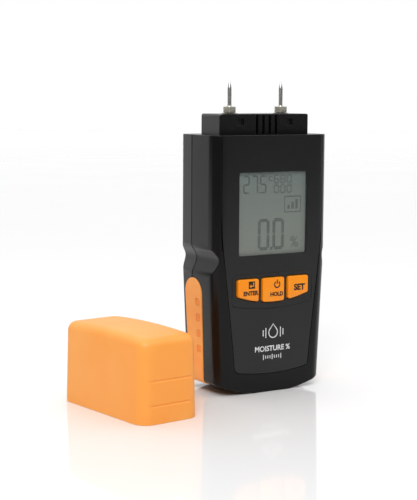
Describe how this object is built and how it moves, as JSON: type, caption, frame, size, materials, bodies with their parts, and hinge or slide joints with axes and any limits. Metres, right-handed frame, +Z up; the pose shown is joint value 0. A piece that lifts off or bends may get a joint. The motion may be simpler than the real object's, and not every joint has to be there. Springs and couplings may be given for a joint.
{
  "type": "moisture meter",
  "caption": "Pin-type moisture meter: upright handheld case with display, keys and side grips, needles on a head at the top, and a clip-on cap standing beside it.",
  "frame": {"origin": "middle of the small flat under the arched base, on the surface that the meter stands on", "axes": "+Z up, towards the needles; the face looks along -Y; +X to the right as the face is read; the cap stands on the -X side"},
  "size_m": [0.126, 0.0668, 0.1479],
  "materials": {
    "case_plastic": "fine satin texture",
    "panel_plastic": "smooth satin",
    "lens": "clear acrylic",
    "display": "reflective liquid crystal",
    "white_plastic": "moulded",
    "light_guide": "clear moulded",
    "connector": "silicone",
    "board": "solder mask over glass epoxy",
    "chip": "moulded epoxy",
    "key_plastic": "satin moulded",
    "grip_rubber": "soft overmoulding",
    "head_plastic": "satin moulded",
    "brass": "turned",
    "sensor": "epoxy bead",
    "needle_steel": "ground",
    "nut_plated": "nickel plated",
    "screw_steel": "zinc plated",
    "switch": "moulded",
    "cell": "printed sleeve",
    "cap_plastic": "satin moulded"
  },
  "bodies": {
    "meter": {"front_case": "case_plastic", "rear_case": "case_plastic", "face_panel": "panel_plastic", "display_lens": "lens", "lcd_glass": "display", "lcd_frame": "white_plastic", "light_guide": "light_guide", "lcd_connector": "connector", "circuit_board": "board", "controller_chip": "chip", "left_grip": "grip_rubber", "right_grip": "grip_rubber", "pin_head": "head_plastic", "left_socket": "brass", "right_socket": "brass", "left_strap": "brass", "right_strap": "brass", "temperature_sensor": "sensor", "case_screws": "screw_steel", "board_screws": "screw_steel", "key_switch_1": "switch", "key_switch_2": "switch", "key_switch_3": "switch", "battery_1": "cell", "battery_2": "cell", "battery_3": "cell", "battery_spring_1": "screw_steel", "battery_spring_2": "screw_steel", "battery_spring_3": "screw_steel", "battery_plate_1": "screw_steel", "battery_plate_2": "screw_steel", "battery_plate_3": "screw_steel"},
    "key_enter": {"key_enter": "key_plastic"},
    "key_power": {"key_power": "key_plastic"},
    "key_set": {"key_set": "key_plastic"},
    "battery_cover": {"battery_cover": "case_plastic"},
    "cap": {"cap": "cap_plastic"},
    "left_pin": {"left_pin": "needle_steel"},
    "right_pin": {"right_pin": "needle_steel"},
    "left_nut": {"left_nut": "nut_plated"},
    "right_nut": {"right_nut": "nut_plated"}
  },
  "joints": [
    {"name": "press_enter", "type": "slide", "parent": "meter", "child": "key_enter", "axis": [0, 1, 0], "range_m": [0, 0.0008], "stiffness_N_per_m": 1200},
    {"name": "press_power", "type": "slide", "parent": "meter", "child": "key_power", "axis": [0, 1, 0], "range_m": [0, 0.0008], "stiffness_N_per_m": 1200},
    {"name": "press_set", "type": "slide", "parent": "meter", "child": "key_set", "axis": [0, 1, 0], "range_m": [0, 0.0008], "stiffness_N_per_m": 1200},
    {"name": "open_battery_cover", "type": "hinge", "parent": "meter", "child": "battery_cover", "pos_m": [0, 0.0149, 0.0089], "axis": [-1, 0, 0], "range_deg": [0, 80]},
    {"name": "lift_cap", "type": "slide", "parent": "meter", "child": "cap", "axis": [0, 0, 1], "range_m": [0, 0.15]},
    {"name": "raise_left_pin", "type": "slide", "parent": "meter", "child": "left_pin", "axis": [0, 0, 1], "range_m": [0, 0.002]},
    {"name": "unscrew_left_nut", "type": "hinge", "parent": "left_pin", "child": "left_nut", "pos_m": [-0.01465, 0.0006, 0.134], "axis": [0, 0, 1], "range_deg": [0, 1440]},
    {"name": "raise_right_pin", "type": "slide", "parent": "meter", "child": "right_pin", "axis": [0, 0, 1], "range_m": [0, 0.002]},
    {"name": "unscrew_right_nut", "type": "hinge", "parent": "right_pin", "child": "right_nut", "pos_m": [0.01465, 0.0006, 0.134], "axis": [0, 0, 1], "range_deg": [0, 1440]}
  ],
  "couplings": [
    {"joint": "unscrew_left_nut", "follows": "raise_left_pin", "rad_per_m": 12566},
    {"joint": "unscrew_right_nut", "follows": "raise_right_pin", "rad_per_m": 12566}
  ]
}
